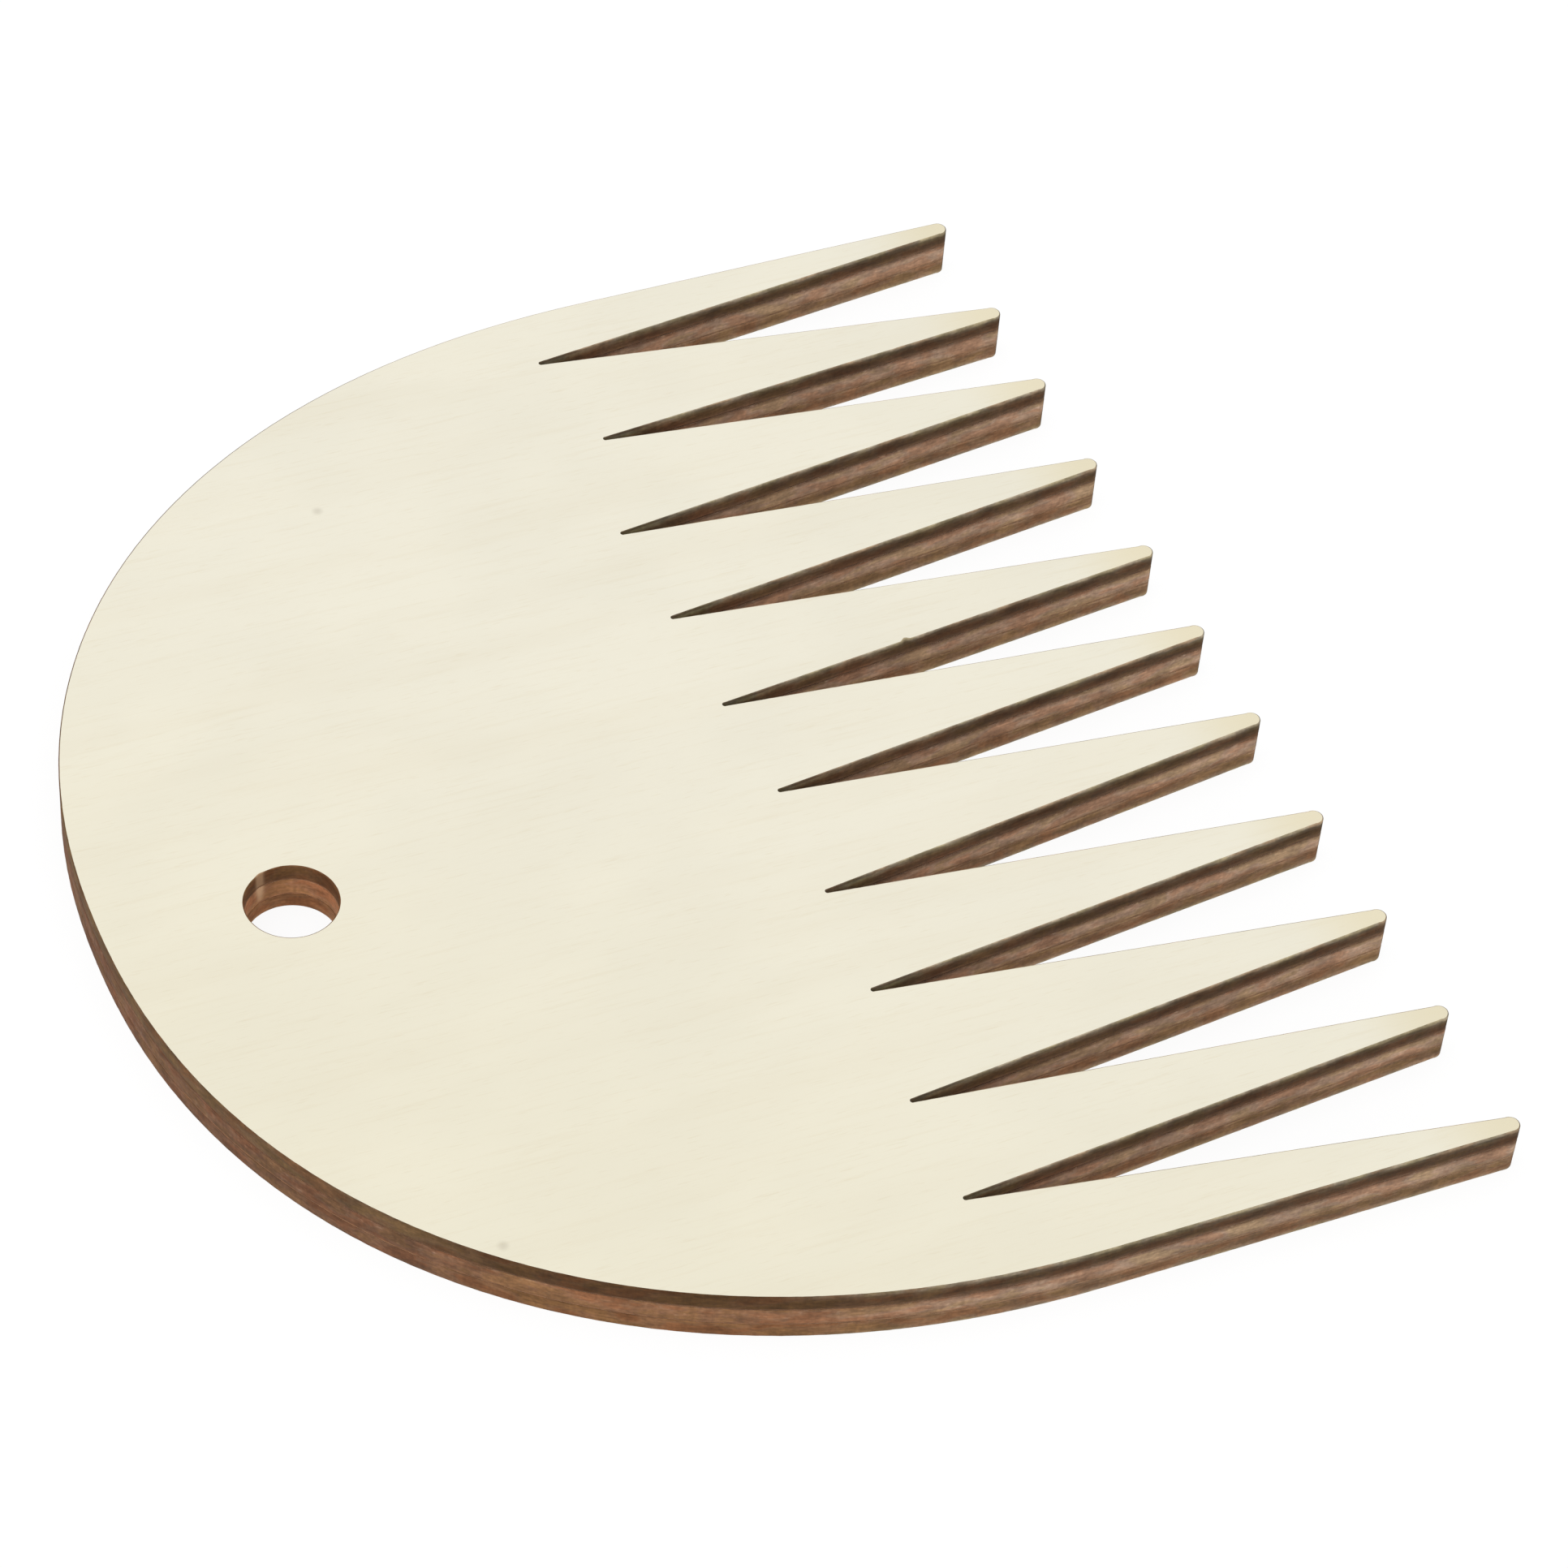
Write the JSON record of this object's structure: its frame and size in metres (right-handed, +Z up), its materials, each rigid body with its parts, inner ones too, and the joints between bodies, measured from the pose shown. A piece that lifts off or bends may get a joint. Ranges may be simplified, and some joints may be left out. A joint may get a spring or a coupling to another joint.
{
  "type": "weaving comb",
  "caption": "Flat plywood weaving comb with a round grip end, a hanging hole and a row of tapering teeth that beat the weft down on a hand loom.",
  "frame": {"origin": "middle of the underside: half way between the tips and the round end, half way across the width", "axes": "+X along the teeth towards their tips, +Y across the width, +Z up through the thickness to the show face"},
  "size_m": [0.062, 0.072, 0.003],
  "materials": {
    "face_veneer": "sanded, unvarnished",
    "core_veneer": "laser-cut, scorched edge",
    "back_veneer": "sanded, unvarnished",
    "glue": "set glue, matt"
  },
  "bodies": {
    "root": {"face_veneer": "face_veneer", "upper_glue_line": "glue", "core_veneer": "core_veneer", "lower_glue_line": "glue", "back_veneer": "back_veneer"}
  },
  "joints": []
}
